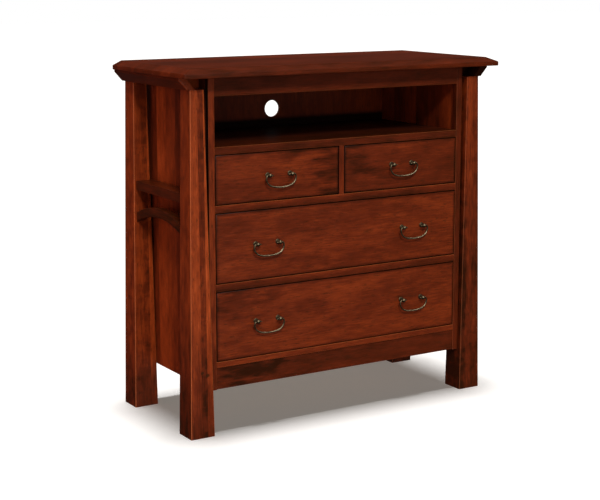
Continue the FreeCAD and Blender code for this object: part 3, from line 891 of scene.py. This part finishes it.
def steel_finish():
    """Zinc-plated steel screws: cool grey with a slightly cloudy shine."""
    material, tree = blank_material("zinc_plated_steel")
    place = {"Vector": add_node(tree, "TexCoord").outputs["Object"]}
    cloud = add_node(tree, "TexNoise", {"Scale": 1000 / ZINC_CLOUD, "Detail": 3.0}, place)
    tint = add_node(tree, "Mix", {"A": shade(linear("#8E9196")), "B": shade(linear("#C2C4C6"))},
                    {"Factor": cloud}, data_type="RGBA").outputs["Result"]
    rough = add_node(tree, "MapRange", {1: 0.3, 2: 0.7, 3: 0.28, 4: 0.42}, {0: cloud})
    finish_surface(tree, {"Metallic": 1.0}, {"Base Color": tint, "Roughness": rough})
    return material


# Each kind of board: its name's ending, its grain and what sets it apart. Staves are a width in mm. A tone
# lightens or darkens the stain. A patch is its middle's X and Z, half its width and height, and its tone. A
# knot is its middle and radius. The band of painted shade is an axis, and where along it the board is bright
# and dark.
CHERRY_BOARDS = (
    # The top board's front edge gets painted shade and the left cap's front end painted light, both by facing
    ("top_board", "x_flat", dict(staves=118, tone=-0.1, spread=0.2, front=-0.08)),
    ("left_cap", "y", dict(tone=-0.2, front=0.5)),
    # Much darker than the left cap, as painted shade for the shade under the top board
    ("right_cap", "y", dict(tone=-0.6)),
    ("front_left_leg", "z", dict(
        tone=0.05, tones=(0.54, 0.0, 0.34), hidden=1, flank=-0.22, worn=0.55, figure=1.5,
        knots=((-0.4905, -0.2055, 0.196, 0.0035), (-0.4745, -0.2055, 0.187, 0.005)))),
    ("rear_left_leg", "z", dict(tone=0.13, tones=(0.4, 0.0, 0.1), hidden=1, worn=0.5, figure=1.5)),
    ("right_leg", "z", dict(tone=-0.13, tones=(0.05, 0.2, 0.12), worn=0.2, figure=1.5)),
    ("side_panel", "z_side", dict(staves=62, tone=0.12, spread=0.6, figure=1.5)),
    ("crosspiece", "y", dict(tone=-0.34)),
    ("arch", "y", dict(tone=-0.45)),
    ("left_stile", "z", dict(tone=0.06, hidden=-1, worn=0.35, figure=1.4)),
    ("right_stile", "z", dict(tone=-0.2, hidden=1, worn=0.25)),
    ("apron", "x", dict(tone=-0.2, patches=((-0.33, 0.19, 0.13, 0.05, -0.35),))),
    # Darker partly as darker wood and partly as painted shade under the top board's overhang
    ("top_rail", "x", dict(tone=-0.19, worn=0.35)),
    ("shelf_rail", "x", dict(tone=-0.26, worn=0.35)),
    ("bottom_rail", "x", dict(tone=0.12, worn=0.5)),
    ("_rail", "x", dict(hidden="edges", worn=0.45, fall=True)),
    ("divider_post", "z", dict(hidden="edges")),
    # Painted shade at the back of the shelf and at the foot of the back panel
    ("media_shelf", "x_flat", dict(staves=95, tone=-0.4, spread=0.25, dim=("Y", -0.12, 0.05))),
    ("back_panel", "z", dict(tone=0.08, dim=("Z", 0.886, 0.868))),
    ("right_small_drawer_front", "x", dict(tone=-0.09, hidden="rims", figure=1.2, patches=(
        (0.05, 0.8, 0.045, 0.06, -0.22), (0.14, 0.735, 0.04, 0.025, -0.15)))),
    ("left_small_drawer_front", "x", dict(tone=0.03, hidden="rims", figure=1.2, patches=(
        (-0.04, 0.755, 0.07, 0.11, -0.4), (-0.18, 0.81, 0.025, 0.03, -0.2)))),
    ("middle_drawer_front", "x", dict(tone=0.09, hidden="rims", figure=1.2, patches=(
        (-0.15, 0.492, 0.06, 0.02, -0.2), (-0.055, 0.487, 0.03, 0.016, -0.18)))),
    ("lower_drawer_front", "x", dict(tone=0.08, hidden="rims", figure=1.2, patches=(
        (-0.375, 0.385, 0.085, 0.045, -0.26), (-0.235, 0.405, 0.04, 0.018, -0.2),
        (0.265, 0.38, 0.03, 0.016, -0.2), (-0.11, 0.345, 0.08, 0.018, -0.12)))),
)
RUNNER_WOOD = ("#8C6A45", "#B99468")
BOX_WOOD = ("#B58F5E", "#DAB987")
BOX_PLYWOOD = ("#B08C60", "#D3B384")
# For each kind of bare board: its name's ending, its grain, its colours and the width of its staves in mm
BARE_BOARDS = (
    ("partition", "x", RUNNER_WOOD, 90),
    ("rear_rails", "x", RUNNER_WOOD, 0),
    ("drawer_runners", "y_flat", RUNNER_WOOD, 0),
    ("drawer_stops", "x", RUNNER_WOOD, 0),
    ("top_cleats", "y", RUNNER_WOOD, 0),
    ("drawer_sides", "y", BOX_WOOD, 0),
    ("drawer_back", "x", BOX_WOOD, 0),
    ("drawer_bottom", "x_flat", BOX_PLYWOOD, 0),
)


def kind_of(board, kinds):
    """What is said of the first kind whose ending the board's name has, or None."""
    return next((said for ending, *said in kinds if board.endswith(ending)), None)


class ChestWood(bpy.types.Operator):
    """Gives every board its wood and finish"""
    bl_idname = "chest.wood"
    bl_label = "Wood"

    def execute(self, context):
        for seed, piece in enumerate(sorted(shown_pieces(), key=lambda item: item.name), start=1):
            board = piece.name.removesuffix("_eased")
            cherry = kind_of(board, CHERRY_BOARDS)
            bare = kind_of(board, BARE_BOARDS)
            if cherry:
                grain, traits = cherry
                look = context.scene.chest_cherry
                wood = cherry_finish("cherry_" + board, look, grain, seed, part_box(board), **traits)
            elif bare:
                grain, colours, staves = bare
                wood = bare_finish("wood_" + board, grain, seed, colours, staves)
            else:
                continue
            if not piece.material_slots:
                piece.data.materials.append(wood)
            for place in piece.material_slots:
                place.material = wood
        return {"FINISHED"}


def surround(stage):
    """White to the camera and nearly dark to the gloss, so that the deep red of the wood isn't hazed over."""
    world = bpy.data.worlds.new("surround")
    world.use_nodes = True
    tree = world.node_tree
    tree.nodes.clear()
    ray = add_node(tree, "LightPath")
    seen = add_node(tree, "MapRange", {3: stage.mirrored}, {0: ray.outputs["Is Camera Ray"]})
    background = add_node(tree, "Background", {"Color": (1, 1, 1, 1)}, {"Strength": seen})
    add_node(tree, "OutputWorld", links={0: background})
    return world


def lamp(name, setting, lit, blockers, mirrored, tint):
    """A far soft light from its side, height, width and strength, what it lights and what shades that."""
    side, height, width = (math.radians(value) for value in setting[:3])
    light = bpy.data.lights.new(name, "SUN")
    light.angle = width
    light.energy = setting[3]
    light.color = tint
    piece = bpy.data.objects.new(name, light)
    level = math.cos(height)
    toward = Vector((-math.sin(side) * level, -math.cos(side) * level, math.sin(height)))
    piece.rotation_euler = (-toward).to_track_quat("-Z", "Y").to_euler()
    bpy.context.scene.collection.objects.link(piece)
    piece.light_linking.receiver_collection = lit
    piece.light_linking.blocker_collection = blockers
    piece.visible_glossy = mirrored


class ChestStudio(bpy.types.Operator):
    """Lays the floor, hangs the lights and stands the camera where the photograph was taken"""
    bl_idname = "chest.studio"
    bl_label = "Studio"

    def execute(self, context):
        scene = context.scene
        stage = scene.chest_stage
        shape = bmesh.new()
        bmesh.ops.create_grid(shape, x_segments=1, y_segments=1, size=stage.floor_size / 2)
        mesh = bpy.data.meshes.new("floor")
        shape.to_mesh(mesh)
        shape.free()
        floor = bpy.data.objects.new("floor", mesh)
        scene.collection.objects.link(floor)
        floor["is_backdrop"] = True
        material, tree = blank_material("studio_floor")
        # The floor's glow is painted light that lifts the shadow under the chest
        finish_surface(tree, {"Base Color": shade(stage.floor_colour), "Roughness": 0.9,
                              "Specular IOR Level": 0.0, "Emission Color": shade(stage.floor_glow),
                              "Emission Strength": 1.0}, {})
        material.cycles.emission_sampling = "NONE"
        mesh.materials.append(material)
        floor.visible_glossy = False
        floor.visible_diffuse = False
        scene.world = surround(stage)

        chest = bpy.data.collections.new("lit_chest")
        pulls = bpy.data.collections.new("lit_pulls")
        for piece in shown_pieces():
            chest.objects.link(piece)
            if piece.name.endswith(("_turned", "_bent")):
                pulls.objects.link(piece)
        ground = bpy.data.collections.new("lit_floor")
        ground.objects.link(floor)
        for name in ChestStage.__annotations__:
            if name.endswith("_light"):
                lit = {"pull_light": pulls, "floor_light": ground}.get(name, chest)
                tint = stage.left_tint if name == "left_light" else (1, 1, 1)
                lamp(name, getattr(stage, name), lit, chest, name in ("key_light", "pull_light"), tint)

        lens = bpy.data.cameras.new("camera")
        lens.sensor_width = 36
        lens.lens = stage.camera_lens
        lens.shift_y = stage.camera_shift
        camera = bpy.data.objects.new("camera", lens)
        camera.location = stage.camera_place
        yaw, pitch = stage.camera_yaw, stage.camera_pitch
        ahead = Vector((math.sin(yaw) * math.cos(pitch), math.cos(yaw) * math.cos(pitch), -math.sin(pitch)))
        camera.rotation_euler = ahead.to_track_quat("-Z", "Y").to_euler()
        scene.collection.objects.link(camera)
        scene.camera = camera
        scene.view_settings.view_transform = "Standard"
        return {"FINISHED"}


class ChestPanel(bpy.types.Panel):
    """Lists the chest's steps in the sidebar"""
    bl_idname = "VIEW3D_PT_chest"
    bl_label = "Media chest"
    bl_space_type = "VIEW_3D"
    bl_region_type = "UI"
    bl_category = "Chest"

    def draw(self, context):
        for operator in OPERATORS:
            self.layout.operator(operator.bl_idname)
        for name in SETTINGS:
            group = getattr(context.scene, name)
            for key in group.__annotations__:
                self.layout.prop(group, key)


SETTINGS = {
    "chest_pulls": ChestPullSizes,
    "chest_screws": ChestScrewSizes,
    "chest_easing": ChestEasing,
    "chest_cherry": ChestCherry,
    "chest_brass": ChestBrass,
    "chest_stage": ChestStage,
}
OPERATORS = (ChestPullPosts, ChestBails, ChestScrews, ChestEasedBoards, ChestWood, ChestStudio)


def register():
    """Adds the settings, the operators and the panel."""
    for name, group in SETTINGS.items():
        bpy.utils.register_class(group)
        setattr(bpy.types.Scene, name, bpy.props.PointerProperty(type=group))
    for item in OPERATORS + (ChestPanel,):
        bpy.utils.register_class(item)


def unregister():
    """Takes them out again."""
    for item in reversed(OPERATORS + (ChestPanel,)):
        bpy.utils.unregister_class(item)
    for name, group in SETTINGS.items():
        delattr(bpy.types.Scene, name)
        bpy.utils.unregister_class(group)


def main():
    """Builds everything in order."""
    register()
    bpy.ops.chest.pull_posts()
    bpy.ops.chest.bails()
    bpy.ops.chest.screws()
    bpy.ops.chest.eased_boards()
    bpy.ops.chest.wood()
    bpy.ops.chest.studio()


if __name__ == "__main__":
    main()
